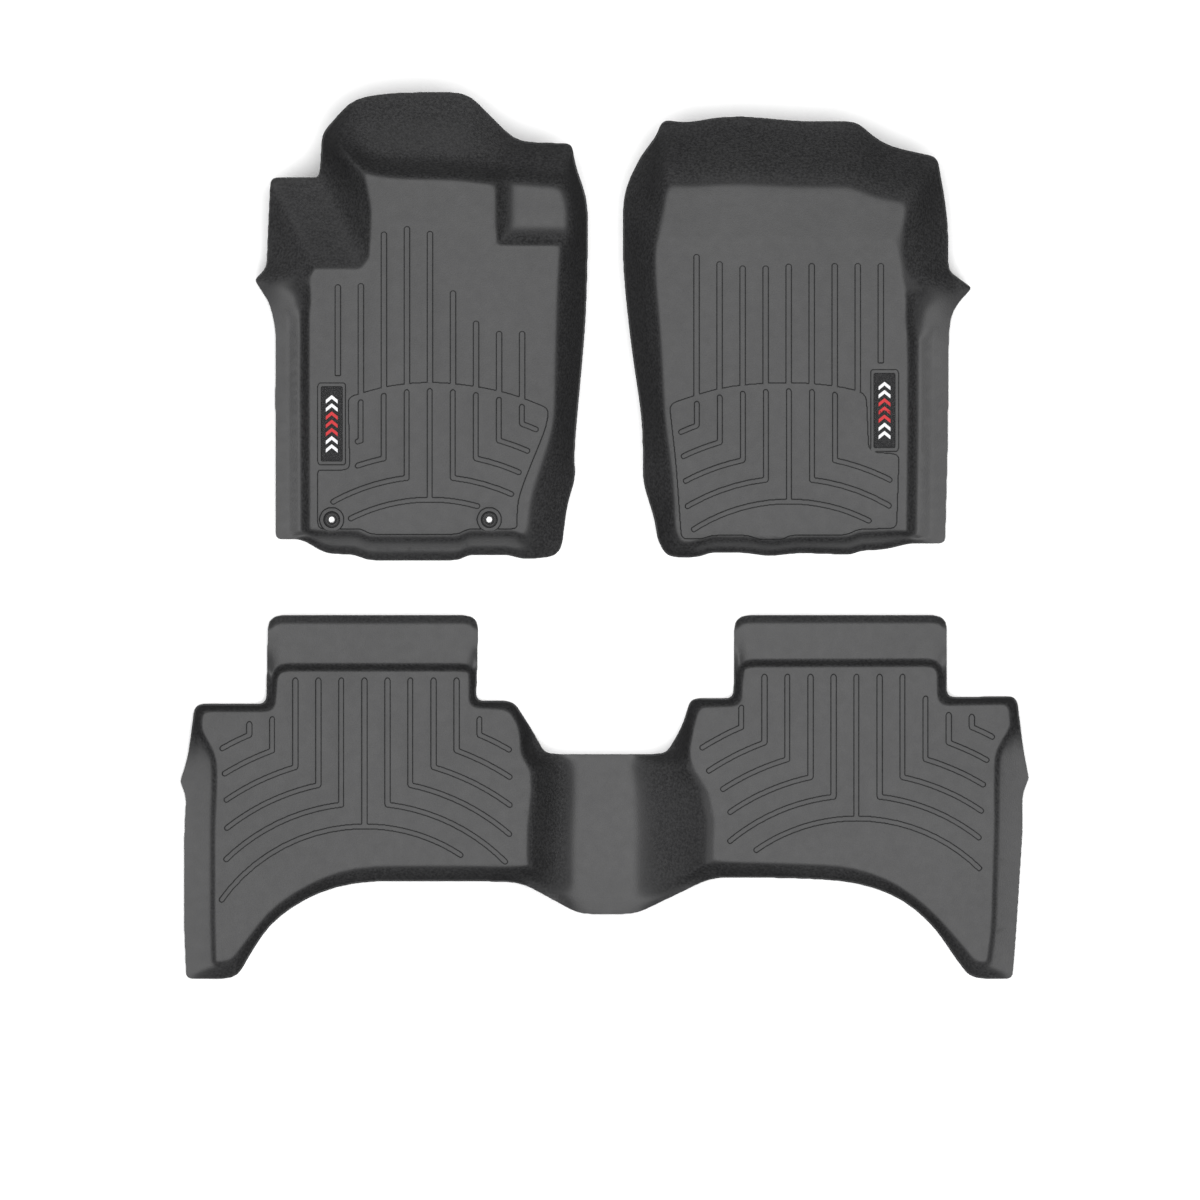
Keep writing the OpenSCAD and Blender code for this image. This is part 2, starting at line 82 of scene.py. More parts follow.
HOLE_RADIUS = 10.3 * MM    # hole in the sheet round an eyelet's sleeve
HOLE_COVER = 2 * MM        # how far past a hole's edge the height map is filled in
BOSS_ZONE = 9 * MM         # how far past a hole's edge the ground is a boss
BOSS_EDGE = 9.7 * MM       # how far past a hole's edge the boss ends
BOSS_GROUND = 10.5 * MM    # how far past a hole's edge the pan runs under the boss
BOSS_REACH = 16 * MM       # how far past a hole's edge the pan is looked for

# ---------------------------------------------------------------- sorting a height map, in cells
RELIEF_CEILING = 10        # level ground above this height is no relief
FEWEST_CELLS = 40          # a height found in fewer cells is no feature
LEVEL = 0.99999            # upright share of a level surface's normal
SAME_LAND = 0.05           # heights this near to the land belong to it
SAME_LEVEL = 0.03          # heights this near to each other are one level
CHANNEL_DEPTH = 1.5        # level ground this far below the land is a channel or the pan
CHANNEL_OVERLAP = 5        # how far a channel runs on into the pan
TRUSTED_INSET = 4.6        # heights nearer to the edge than this are carried out from inside
CARRIED_LAYERS = 20
BROAD_INSET = 18           # broad creases start this far inside the edge
BROAD_GROWTH = 16
BROAD_FADE = 6
BEND_BLUR = 1.5
FLAT_SLOPE = 0.35          # at this slope the sheet has a wall's thickness
FLAT_FADE = 4              # so it does at this height above the land

# ---------------------------------------------------------------- meshing, in cells
RIM_STEP = 4.0             # distance between the points of the rim
RISE_LIMITS = (-0.2, 4.0)
RIM_LEAST = 0.5            # width of a level rim
RIM_TURN = 0.6             # share of the rim's bend radius that its width may take
SMALLEST_LOOP = 12         # area below which a relief edge is left out
LOOP_SLACK = 0.035
LONGEST_EDGE = 24
POINT_JITTER = 0.12        # share of the step
POINT_ROOM = (0.45, 2.6)   # share of the step kept free beside edges, and its most
LEAST_ROOM = 1.2
WELL_INSIDE = 0.9
RECESS_EDGES = (5.0, 5.4)  # foot and head of the step round a lock ring, past the hole
RECESS_LIMIT = 5.2
RECESS_HEIGHT = 3.4
rng = np.random.default_rng(7)


# ---------------------------------------------------------------- numbers on grids
def blur(field, sigma):
    """Gaussian blur of a 2-D array, its edges held."""
    reach = int(math.ceil(3 * sigma))
    taps = np.exp(-0.5 * (np.arange(-reach, reach + 1) / sigma) ** 2)
    taps /= taps.sum()
    for axis in (0, 1):
        pads = [(reach, reach) if a == axis else (0, 0) for a in (0, 1)]
        wide = np.pad(field, pads, mode="edge")
        size = field.shape[axis]
        field = sum(t * np.take(wide, range(i, i + size), axis=axis) for i, t in enumerate(taps))
    return field


def sample(field, x, y):
    """Bilinear value of a grid at fractional cell places."""
    rows, cols = field.shape
    x = np.clip(x, 0, cols - 1.001)
    y = np.clip(y, 0, rows - 1.001)
    i, j = x.astype(int), y.astype(int)
    u, v = x - i, y - j
    return ((field[j, i] * (1 - u) + field[j, i + 1] * u) * (1 - v)
            + (field[j + 1, i] * (1 - u) + field[j + 1, i + 1] * u) * v)


def grown(mask, cells):
    """A mask grown by about that many cells."""
    return blur(mask.astype(float), cells / 1.6) > 0.08


def shrunk(mask, cells):
    return ~grown(~mask, cells)


def shifted(field, dy, dx):
    return np.roll(np.roll(field, dy, axis=0), dx, axis=1)


def carried_out(height, known, cells):
    """Heights past the edge of the known area, each layer following the slope that it meets."""
    weight = known.astype(float)
    inner = known.copy()
    for dy, dx in ((1, 0), (-1, 0), (0, 1), (0, -1)):
        inner &= shifted(known, dy, dx)
    slopes = []
    for dy, dx in ((0, 1), (1, 0)):
        raw = np.where(inner, (shifted(height, -dy, -dx) - shifted(height, dy, dx)) / 2, 0.0)
        slopes.append(blur(raw, 3) / np.maximum(blur(inner.astype(float), 3), 1e-6))
    slope_x, slope_y = slopes
    height = np.where(known, height, 0.0)
    for _ in range(cells):
        total, count = np.zeros_like(height), np.zeros_like(height)
        sx, sy = np.zeros_like(height), np.zeros_like(height)
        for dy in (-1, 0, 1):
            for dx in (-1, 0, 1):
                w = shifted(weight, dy, dx)
                gx, gy = shifted(slope_x, dy, dx), shifted(slope_y, dy, dx)
                total += w * (shifted(height, dy, dx) + gx * dx + gy * dy)
                sx += w * gx
                sy += w * gy
                count += w
        new = (weight == 0) & (count > 0)
        safe = np.maximum(count, 1)
        height = np.where(new, total / safe, height)
        slope_x = np.where(new, sx / safe, slope_x)
        slope_y = np.where(new, sy / safe, slope_y)
        weight = np.where(new, 1.0, weight)
    return np.where(weight > 0, height, 0.0)


# ---------------------------------------------------------------- outlines on grids
def contours(field, level):
    """Closed loops of fractional cell places where the field crosses the level."""
    rows, cols = field.shape
    above = field > level
    a, b = above[:-1, :-1], above[:-1, 1:]
    d, c = above[1:, :-1], above[1:, 1:]
    case = a * 1 + b * 2 + c * 4 + d * 8
    pairs = {
        1: [(3, 0)], 2: [(0, 1)], 3: [(3, 1)], 4: [(1, 2)], 5: [(3, 0), (1, 2)], 6: [(0, 2)],
        7: [(3, 2)], 8: [(2, 3)], 9: [(2, 0)], 10: [(0, 1), (2, 3)], 11: [(2, 1)], 12: [(1, 3)],
        13: [(1, 0)], 14: [(0, 3)],
    }
    count = rows * cols
    links = []
    for value, edges in pairs.items():
        j, i = np.nonzero(case == value)
        here = j * cols + i
        names = (here, count + here + 1, here + cols, count + here)
        for first, last in edges:
            links.append(np.stack([names[first], names[last]], axis=1))
    links = np.concatenate(links)
    after = dict(zip(links[:, 0].tolist(), links[:, 1].tolist()))
    loops = []
    while after:
        start, here = after.popitem()
        chain = [start]
        while here != start:
            chain.append(here)
            here = after.pop(here)
        loops.append(chain)
    placed = []
    for chain in loops:
        name = np.array(chain)
        upright = name >= count
        base = np.where(upright, name - count, name)
        j, i = base // cols, base % cols
        j2, i2 = np.where(upright, j + 1, j), np.where(upright, i, i + 1)
        lo, hi = field[j, i], field[j2, i2]
        t = (level - lo) / (hi - lo)
        placed.append(np.stack([i + (i2 - i) * t, j + (j2 - j) * t], axis=1))
    return placed


def thinned(loop, slack, longest):
    """A closed loop with only the points that it needs, and none further apart than longest."""
    far = int(np.argmax(np.hypot(*(loop - loop[0]).T)))
    keep = np.zeros(len(loop) + 1, bool)
    ring = np.vstack([loop, loop[:1]])
    keep[[0, far, len(loop)]] = True
    spans = [(0, far), (far, len(loop))]
    while spans:
        first, last = spans.pop()
        if last <= first + 1:
            continue
        way = ring[last] - ring[first]
        length = math.hypot(*way)
        rest = ring[first + 1:last] - ring[first]
        if length < 1e-9:
            away = np.hypot(*rest.T)
        else:
            away = np.abs(rest[:, 0] * way[1] - rest[:, 1] * way[0]) / length
        worst = int(np.argmax(away))
        middle = first + 1 + worst
        if away[worst] <= slack:
            if length <= longest:
                continue
            middle = (first + last) // 2
        keep[middle] = True
        spans += [(first, middle), (middle, last)]
    return ring[:-1][keep[:-1]]


def evened(loop, step):
    """A closed loop resampled at even steps."""
    ring = np.vstack([loop, loop[:1]])
    along = np.concatenate([[0], np.cumsum(np.hypot(*np.diff(ring, axis=0).T))])
    stops = np.linspace(0, along[-1], max(12, int(along[-1] / step)), endpoint=False)
    return np.stack([np.interp(stops, along, ring[:, k]) for k in (0, 1)], axis=1)


def loop_area(loop):
    x, y = loop.T
    return 0.5 * float(np.sum(x * np.roll(y, -1) - np.roll(x, -1) * y))


def inside(points, loop):
    """Which points lie within a closed loop."""
    found = np.zeros(len(points), bool)
    x, y = points.T
    for (x1, y1), (x2, y2) in zip(loop, np.roll(loop, -1, axis=0)):
        if y1 == y2:
            continue
        hit = ((y1 > y) != (y2 > y)) & (x < (x2 - x1) * (y - y1) / (y2 - y1) + x1)
        found ^= hit
    return found


# ---------------------------------------------------------------- a liner read from its node
class Liner:
    """The upper side of a liner's CAD node as a broad form and a relief."""

    def __init__(self, node, holes, broad_above, broad_blur):
        self.node, self.holes = node, holes
        self.broad_above, self.broad_blur = broad_above, broad_blur
        low, high = (np.array(corner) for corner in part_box(node))
        self.origin = low[:2] - MARGIN * CELL
        cols, rows = (int(math.ceil(s / CELL)) + 2 * MARGIN + 1 for s in (high - low)[:2])
        self.scan(rows, cols, float(high[2]))
        self.split()

    def scan(self, rows, cols, top):
        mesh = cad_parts[self.node].data
        tree = BVHTree.FromPolygons(
            [v.co.copy() for v in mesh.vertices], [tuple(p.vertices) for p in mesh.polygons])
        height = np.full((rows, cols), np.nan)
        level = np.zeros((rows, cols), bool)
        down, start = Vector((0, 0, -1)), top + 0.01
        for j in range(rows):
            y = self.origin[1] + j * CELL
            for i in range(cols):
                spot, normal, _, _ = tree.ray_cast(Vector((self.origin[0] + i * CELL, y, start)), down)
                if spot is not None:
                    height[j, i] = spot.z
                    level[j, i] = abs(normal.z) > LEVEL
        self.height, self.level = height / CELL, level

    def split(self):
        """Sorts the level cells into lands, channels, pans, ribs and bosses by their heights."""
        covered = ~np.isnan(self.height)
        for x, y, r in self.holes:
            covered |= self.disc(x, y, r + HOLE_COVER)
        height = np.where(np.isnan(self.height), 0.0, self.height)
        relief_zone = covered & self.level & (height < RELIEF_CEILING)
        values, counts = np.unique(np.round(height[relief_zone], 2), return_counts=True)
        common = counts > FEWEST_CELLS
        values, counts = values[common], counts[common]
        self.land = float(values[np.argmax(counts)])
        floor_zone = relief_zone.copy()
        for x, y, r in self.holes:
            floor_zone |= self.disc(x, y, r + BOSS_ZONE)
        self.features = []
        lower = [v for v in values if v < self.land - SAME_LAND]
        at_value = {v: relief_zone & (np.abs(height - v) < SAME_LEVEL) for v in values}
        if lower:
            deepest = min(lower)
            channels = [v for v in lower if v != deepest and v <= self.land - CHANNEL_DEPTH]
            ribs = [v for v in lower if v != deepest and v > self.land - CHANNEL_DEPTH]
            in_pan = at_value[deepest].copy()
            for v in ribs:
                in_pan |= at_value[v]
            for x, y, r in self.holes:
                disc = self.disc(x, y, r + BOSS_GROUND)
                j, i = np.nonzero(in_pan & ~disc & self.disc(x, y, r + BOSS_REACH))
                below = np.arange(height.shape[0])[:, None] >= j.min()
                in_pan |= disc & below
            cut = np.zeros_like(in_pan)
            for v in channels:
                cut |= at_value[v]
            cut_depth = max(self.land - v for v in channels)
            self.features.append(("cut", cut | (grown(cut, CHANNEL_OVERLAP) & in_pan), -cut_depth))
            self.features.append(("pan", in_pan, deepest - self.land))
            for v in ribs:
                self.features.append(("rib", at_value[v], v - deepest))
        for v in values:
            if v > self.land + SAME_LAND:
                if self.holes:
                    boss = np.zeros_like(covered)
                    for x, y, r in self.holes:
                        boss |= self.disc(x, y, r + BOSS_EDGE)
                    self.features.append(("boss", boss, v - self.land))
                    break
                self.features.append(("rib", at_value[v], v - self.land))
        form = np.where(floor_zone, self.land, height)
        form = carried_out(form, shrunk(covered, TRUSTED_INSET), CARRIED_LAYERS)
        high = shrunk(covered, BROAD_INSET) & (form > self.broad_above)
        broad = blur(grown(high, BROAD_GROWTH).astype(float), BROAD_FADE)
        self.form = blur(form, FORM_BLUR) * (1 - broad) + blur(form, self.broad_blur) * broad
        self.edge = blur(covered.astype(float), EDGE_BLUR)
        self.relief = [
            (kind, blur(mask.astype(float), RELIEF_BLUR), step) for kind, mask, step in self.features]
        slope_y, slope_x = np.gradient(self.form)
        self.slope = np.hypot(slope_x, slope_y)
        self.slopes = (slope_x, slope_y)
        bend_yy, _ = np.gradient(slope_y)
        _, bend_xx = np.gradient(slope_x)
        cross, _ = np.gradient(slope_x)
        self.bend = blur(np.sqrt(bend_xx ** 2 + bend_yy ** 2 + 2 * cross ** 2), BEND_BLUR)

    def disc(self, x, y, r):
        rows, cols = self.height.shape
        gx = self.origin[0] + np.arange(cols) * CELL
        gy = self.origin[1] + np.arange(rows) * CELL
        return (gx[None, :] - x) ** 2 + (gy[:, None] - y) ** 2 < r * r

    def top(self, x, y):
        """Height of the upper side at cell places, in cells."""
        z = sample(self.form, x, y)
        share = {}
        for kind, field, step in self.relief:
            low, high = BEVEL_LEVELS[0], BEVEL_LEVELS[-1]
            t = np.clip((sample(field, x, y) - low) / (high - low), 0, 1)
            share.setdefault(kind, []).append((t * t * (3 - 2 * t), step))
        down = np.zeros_like(z)
        for kind in ("cut", "pan"):
            for t, step in share.get(kind, []):
                down = np.minimum(down, t * step)
        for t, step in share.get("rib", []):
            down = down + t * step
        for t, step in share.get("boss", []):
            down = down * (1 - t) + t * step
        return z + down

    def top_normals(self, x, y):
        """Directions square to the upper side."""
        rise_x = (self.top(x + PROBE, y) - self.top(x - PROBE, y)) / (2 * PROBE)
        rise_y = (self.top(x, y + PROBE) - self.top(x, y - PROBE)) / (2 * PROBE)
        normals = np.column_stack([-rise_x, -rise_y, np.ones_like(rise_x)])
        return normals / np.linalg.norm(normals, axis=1)[:, None]

    def under(self, x, y):
        """Height of the underside, a wall's thickness square below the form."""
        z = sample(self.form, x, y)
        slope = sample(self.slope, x, y)
        lift = np.clip((z - self.land) / FLAT_FADE, 0, 1)
        flat = np.clip(1 - slope / FLAT_SLOPE, 0, 1) * (1 - lift)
        thick = WALL / CELL + (self.land - WALL / CELL) * flat
        return np.maximum(z - thick * np.sqrt(1 + slope ** 2), 0.0)


def interior_points(liner, loop, steps, keep_off):
    """Mesh points inside a loop, closer together where the form bends more."""
    rows, cols = liner.form.shape
    found = []
    for step, least in steps:
        gx, gy = np.meshgrid(np.arange(step / 2, cols, step), np.arange(step / 2, rows, step))
        spots = np.stack([gx.ravel(), gy.ravel()], axis=1).astype(float)
        spots += rng.uniform(-POINT_JITTER, POINT_JITTER, spots.shape) * step
        keep = sample(liner.bend, *spots.T) >= least
        keep &= sample(liner.edge, *spots.T) > WELL_INSIDE
        spots = spots[keep]
        room = min(POINT_ROOM[0] * step, POINT_ROOM[1])
        near = grown(keep_off, room) if room > LEAST_ROOM else keep_off
        spots = spots[~near[np.round(spots[:, 1]).astype(int), np.round(spots[:, 0]).astype(int)]]
        found.append(spots)
    spots = np.concatenate(found)
    return spots[inside(spots, loop)]


def marked(shape, loops):
    """Cells that the loops pass through."""
    mask = np.zeros(shape, bool)
    for loop in loops:
        dense = evened(loop, 0.7)
        mask[np.round(dense[:, 1]).astype(int), np.round(dense[:, 0]).astype(int)] = True
    return mask


def filled(rings, spots, outer, holes):
    """Triangles between an outer loop and holes, with every ring kept as mesh edges."""
    points, edges = [], []
    for ring in [outer, *holes, *rings]:
        start = len(points)
        points += [tuple(p) for p in ring]
        edges += [(start + k, start + (k + 1) % len(ring)) for k in range(len(ring))]
    points += [tuple(p) for p in spots]
    done = delaunay_2d_cdt([Vector(p) for p in points], edges, [], 0, 1e-4, True)
    spots_out = np.array([tuple(v) for v in done[0]])
    faces = np.array([tuple(f) for f in done[2] if len(f) == 3])
    middle = spots_out[faces].mean(axis=1)
    keep = inside(middle, outer)
    for hole in holes:
        keep &= ~inside(middle, hole)
    faces = faces[keep]
    a, b, c = (spots_out[faces[:, k]] for k in range(3))
    turn = (b[:, 0] - a[:, 0]) * (c[:, 1] - a[:, 1]) - (b[:, 1] - a[:, 1]) * (c[:, 0] - a[:, 0])
    longest = np.max([np.hypot(*(p - q).T) for p, q in ((a, b), (b, c), (c, a))], axis=0)
    solid = np.abs(turn) > THINNEST * longest
    faces, turn = faces[solid], turn[solid]
    faces[turn < 0] = faces[turn < 0][:, ::-1]
    origin = {}
    for index, sources in enumerate(done[3]):
        for source in sources:
            origin[source] = index
    count = len(outer)
    loop_ids = [[origin[k] for k in range(count)]]
    start = count
    for hole in holes:
        loop_ids.append([origin[start + k] for k in range(len(hole))])
        start += len(hole)
    return spots_out, faces, loop_ids


def build_liner(node, holes, broad_above, broad_blur):
    liner = Liner(node, holes, broad_above, broad_blur)
    shape = liner.form.shape
    outer = max(contours(liner.edge, 0.5), key=lambda loop: abs(loop_area(loop)))
    outer = evened(outer, RIM_STEP)
    if loop_area(outer) < 0:
        outer = outer[::-1]
    ahead, behind = np.roll(outer, -1, axis=0), np.roll(outer, 1, axis=0)
    way = ahead - behind
    normal = np.stack([way[:, 1], -way[:, 0]], axis=1) / np.hypot(*way.T)[:, None]
    rise = sum(sample(s, *outer.T) * normal[:, k] for k, s in enumerate(liner.slopes))
    rise = np.clip(rise, *RISE_LIMITS)
    lean = np.maximum(rise, 0) / np.sqrt(1 + np.maximum(rise, 0) ** 2)
    turn = np.einsum("ij,ij->i", ahead - 2 * outer + behind, -normal)
    gap = np.hypot(*way.T) / 2
    tight = np.maximum(turn / gap ** 2, 1e-3)
    width = np.minimum(RIM_LEAST + (WALL / CELL - RIM_LEAST) * lean, RIM_TURN / tight)
    for _ in range(4):
        width = (np.roll(width, 1) + 2 * width + np.roll(width, -1)) / 4
    rim = outer - normal * width[:, None]

    angle = np.arange(HOLE_SIDES) * 2 * math.pi / HOLE_SIDES
    circle = np.stack([np.cos(angle), np.sin(angle)], axis=1)
    hole_loops = []
    for x, y, r in holes:
        middle = (np.array([x, y]) - liner.origin) / CELL
        hole_loops.append(middle + circle * r / CELL)

    rings, marks = [], []
    for _, field, _ in liner.relief:
        for level in BEVEL_LEVELS:
            for loop in contours(field, level):
                if abs(loop_area(loop)) > SMALLEST_LOOP:
                    rings.append(thinned(loop, LOOP_SLACK, LONGEST_EDGE))
                    marks.append(loop)
    keep_off = marked(shape, marks + [rim] + hole_loops)
    spots = interior_points(liner, rim, POINT_STEPS, grown(keep_off, LEAST_ROOM))
    top_xy, top_faces, top_loops = filled(rings, spots, rim, hole_loops)
    top_z = liner.top(*top_xy.T)

    recess = []
    for x, y, r in holes:
        middle = (np.array([x, y]) - liner.origin) / CELL
        for out in RECESS_EDGES:
            recess.append(middle + circle * (r / CELL + out))
    keep_off = marked(shape, [outer] + hole_loops + recess)
    spots = interior_points(liner, outer, UNDER_STEPS, grown(keep_off, LEAST_ROOM))
    low_xy, low_faces, low_loops = filled(recess, spots, outer, hole_loops)
    low_z = liner.under(*low_xy.T)
    for x, y, r in holes:
        away = np.hypot(*(low_xy - (np.array([x, y]) - liner.origin) / CELL).T)
        low_z[away < r / CELL + RECESS_LIMIT] = RECESS_HEIGHT

    verts = [np.column_stack([top_xy, top_z]), np.column_stack([low_xy, low_z])]
    total = len(top_xy) + len(low_xy)
    upper, lower = verts[0][top_loops[0]], verts[1][low_loops[0]]
    along = np.roll(upper, -1, axis=0) - np.roll(upper, 1, axis=0)
    side = np.cross(along, upper - lower)
    side /= np.linalg.norm(side, axis=1)[:, None]
    top_normals = liner.top_normals(*top_xy.T)
    under_normals = -liner.top_normals(*low_xy.T)

    # The cut edge: its face stands square to the sheet, and its two corners are eased
    bands, band_normals = [top_loops[0]], [side + top_normals[top_loops[0]]]
    for share in RIM_SHARES:
        ring = upper * (1 - share) + lower * share + side * RIM_SWELL * math.sin(math.pi * share)
        verts.append(ring)
        bands.append(list(range(total, total + len(ring))))
        band_normals.append(side)
        total += len(ring)
    bands.append([k + len(top_xy) for k in low_loops[0]])
    band_normals.append(side + under_normals[low_loops[0]])

    faces = top_faces.tolist()
    loop_normals = [top_normals[top_faces.ravel()]]
    for first, second, n1, n2 in zip(bands, bands[1:], band_normals, band_normals[1:]):
        for k in range(len(first)):
            m = (k + 1) % len(first)
            faces.append((first[k], second[k], second[m], first[m]))
            loop_normals.append(np.stack([n1[k], n2[k], n2[m], n1[m]]))
    plain = low_faces[:, ::-1] + len(top_xy)
    faces += plain.tolist()
    loop_normals.append(np.zeros((plain.size, 3)))
    for high, low in zip(top_loops[1:], low_loops[1:]):
        for k in range(len(high)):
            m = (k + 1) % len(high)
            faces.append((high[m], low[m] + len(top_xy), low[k] + len(top_xy), high[k]))
            loop_normals.append(np.zeros((4, 3)))

    cells = np.concatenate(verts)
    places = np.column_stack([cells[:, :2] * CELL + liner.origin, cells[:, 2] * CELL])
    mesh = bpy.data.meshes.new(node + "_sheet")
    mesh.from_pydata(places.tolist(), [], [tuple(face) for face in faces])
    mesh.shade_smooth()
    mesh.set_sharp_from_angle(angle=math.radians(SHARP_ANGLE))
    loop_normals = np.concatenate(loop_normals)
    length = np.linalg.norm(loop_normals, axis=1)
    loop_normals /= np.where(length > 0, length, 1)[:, None]
    mesh.normals_split_custom_set(loop_normals.tolist())
    piece = bpy.data.objects.new(node + "_sheet", mesh)
    bpy.context.scene.collection.objects.link(piece)
    return piece


# ---------------------------------------------------------------- turned pieces and badges
def linked(name, verts, faces, sharp=40):
    mesh = bpy.data.meshes.new(name)
    mesh.from_pydata(verts, [], faces)
    mesh.shade_smooth()
    mesh.set_sharp_from_angle(angle=math.radians(sharp))
    piece = bpy.data.objects.new(name, mesh)
    bpy.context.scene.collection.objects.link(piece)
    return piece


def turned(name, profile, centre, teeth=0, tooth_depth=0.0):
    """A piece turned about an upright line. Each profile point is [radius, height, share of a groove]."""
    steps = teeth * 8 if teeth else 96
    verts, faces = [], []
    for k in range(steps):
        angle = 2 * math.pi * k / steps
        phase = math.cos(angle * teeth) if teeth else 0.0
        groove = tooth_depth * min(1.0, max(0.0, 0.5 + phase * 1.6))
        for r, z, share in profile:
            x, y = centre[0] + r * math.cos(angle), centre[1] + r * math.sin(angle)
            verts.append((x, y, z - groove * share))
    count = len(profile)
    for k in range(steps):
        for i in range(count):
            a, b = k * count + i, k * count + (i + 1) % count
            c, d = (k + 1) % steps * count + (i + 1) % count, (k + 1) % steps * count + i
            faces.append((a, d, c, b))
    return linked(name, verts, faces)


def rounded_loop(w, l, r, steps=8):
    """A rectangle with round corners about the origin, anticlockwise."""
    loop = []
    for quarter, (sx, sy) in enumerate(((1, 1), (-1, 1), (-1, -1), (1, -1))):
        for k in range(steps + 1):
            angle = (quarter + k / steps) * math.pi / 2
            loop.append((sx * (w / 2 - r) + r * math.cos(angle), sy * (l / 2 - r) + r * math.sin(angle)))
    return loop


def slab(name, centre, levels):
    """A solid of stacked round-cornered outlines: each level is [width, length, corner radius, height]."""
    verts, faces = [], []
    for w, l, r, z in levels:
        verts += [(centre[0] + x, centre[1] + y, z) for x, y in rounded_loop(w, l, max(r, 0.0001))]
    count = len(verts) // len(levels)
    for m in range(len(levels) - 1):
        for k in range(count):
            a, b = m * count + k, m * count + (k + 1) % count
            faces.append((a, b, b + count, a + count))
    faces.append(tuple(range(count))[::-1])
    faces.append(tuple(range(count * (len(levels) - 1), count * len(levels))))
    return linked(name, verts, faces)


def prism(name, outline, centre, bottom, top):
    """An upright prism on a flat outline, anticlockwise."""
    count = len(outline)
    verts = [(centre[0] + x, centre[1] + y, z) for z in (bottom, top) for x, y in outline]
    faces = [tuple(range(count))[::-1], tuple(range(count, 2 * count))]
    faces += [(k, (k + 1) % count, (k + 1) % count + count, k + count) for k in range(count)]
    return linked(name, verts, faces)


# ---------------------------------------------------------------- materials
def new_material(name):
    material = bpy.data.materials.new(name)
    material.use_nodes = True
    nodes, links = material.node_tree.nodes, material.node_tree.links
    return material, nodes, links, nodes["Principled BSDF"]


RUBBER_DARK = (0.010, 0.010, 0.0105, 1)
RUBBER_LIGHT = (0.030, 0.030, 0.0307, 1)
RUBBER_BUMP = 0.24 * MM
PEBBLE_SCALE, FINE_SCALE, PATCH_SCALE, BROAD_SCALE, COARSE_SCALE = 560, 1400, 60, 7, 250
MOTTLE = 0.26              # how far the tint swings on slopes
SLOPE_RELIEF = 3.0         # how much deeper the grain is on slopes


def liner_material():
    material, nodes, links, shader = new_material("moulded_tpe")
    place = nodes.new("ShaderNodeTexCoord").outputs["Object"]

    def noise(scale, detail, rough=0.5):
        node = nodes.new("ShaderNodeTexNoise")
        node.inputs["Scale"].default_value = scale
        node.inputs["Detail"].default_value = detail
        node.inputs["Roughness"].default_value = rough
        links.new(place, node.inputs["Vector"])
        return node.outputs["Fac"]

    def mapped(value, lo, hi, out_lo, out_hi):
        node = nodes.new("ShaderNodeMapRange")
        node.inputs["From Min"].default_value = lo
        node.inputs["From Max"].default_value = hi
        node.inputs["To Min"].default_value = out_lo
        node.inputs["To Max"].default_value = out_hi
        links.new(value, node.inputs["Value"])
        return node.outputs["Result"]

    def maths(kind, a, b):
        node = nodes.new("ShaderNodeMath")
        node.operation = kind
        for socket, value in zip(node.inputs, (a, b)):
            if isinstance(value, (int, float)):
                socket.default_value = value
            else:
                links.new(value, socket)
        return node.outputs[0]

    pebble = nodes.new("ShaderNodeTexVoronoi")
    pebble.inputs["Scale"].default_value = PEBBLE_SCALE
    pebble.feature = "SMOOTH_F1"
    links.new(place, pebble.inputs["Vector"])
    grain = mapped(pebble.outputs["Distance"], 0.0, 0.8, 1.0, 0.0)
    fine = noise(FINE_SCALE, 2)
    broad = noise(BROAD_SCALE, 3)
    patch = noise(PATCH_SCALE, 4)
    facing = nodes.new("ShaderNodeSeparateXYZ")
    links.new(nodes.new("ShaderNodeNewGeometry").outputs["Normal"], facing.inputs["Vector"])
    sloped = mapped(facing.outputs["Z"], 0.95, 0.75, 0.0, 1.0)
    coarse = noise(COARSE_SCALE, 2, 0.6)
    mottle = maths("MULTIPLY", mapped(coarse, 0.35, 0.65, -MOTTLE, MOTTLE), sloped)
    tint = maths("ADD", mapped(broad, 0.3, 0.7, 0.94, 1.05), mapped(patch, 0.3, 0.7, -0.02, 0.02))
    speck = mapped(grain, 0.0, 1.0, 0.9, 1.06)
    shade = maths("ADD", maths("MULTIPLY", tint, speck), mottle)
    colour = nodes.new("ShaderNodeMix")
    colour.data_type = "RGBA"
    colour.inputs["A"].default_value = RUBBER_DARK
    colour.inputs["B"].default_value = RUBBER_LIGHT
    links.new(mapped(shade, 0.7, 1.3, 0.0, 1.0), colour.inputs["Factor"])
    links.new(colour.outputs["Result"], shader.inputs["Base Color"])
    rough = maths("ADD", mapped(patch, 0.2, 0.8, 0.50, 0.55), mapped(fine, 0.2, 0.8, -0.03, 0.03))
    links.new(rough, shader.inputs["Roughness"])
    relief = maths("ADD", maths("MULTIPLY", grain, 0.7), maths("MULTIPLY", fine, 0.3))
    relief = maths("ADD", relief, maths("MULTIPLY", maths("MULTIPLY", coarse, sloped), SLOPE_RELIEF))
    bump = nodes.new("ShaderNodeBump")
    bump.inputs["Strength"].default_value = 0.8
    bump.inputs["Distance"].default_value = RUBBER_BUMP
    links.new(relief, bump.inputs["Height"])
    links.new(bump.outputs["Normal"], shader.inputs["Normal"])
    shader.inputs["Specular IOR Level"].default_value = 0.30
    return material


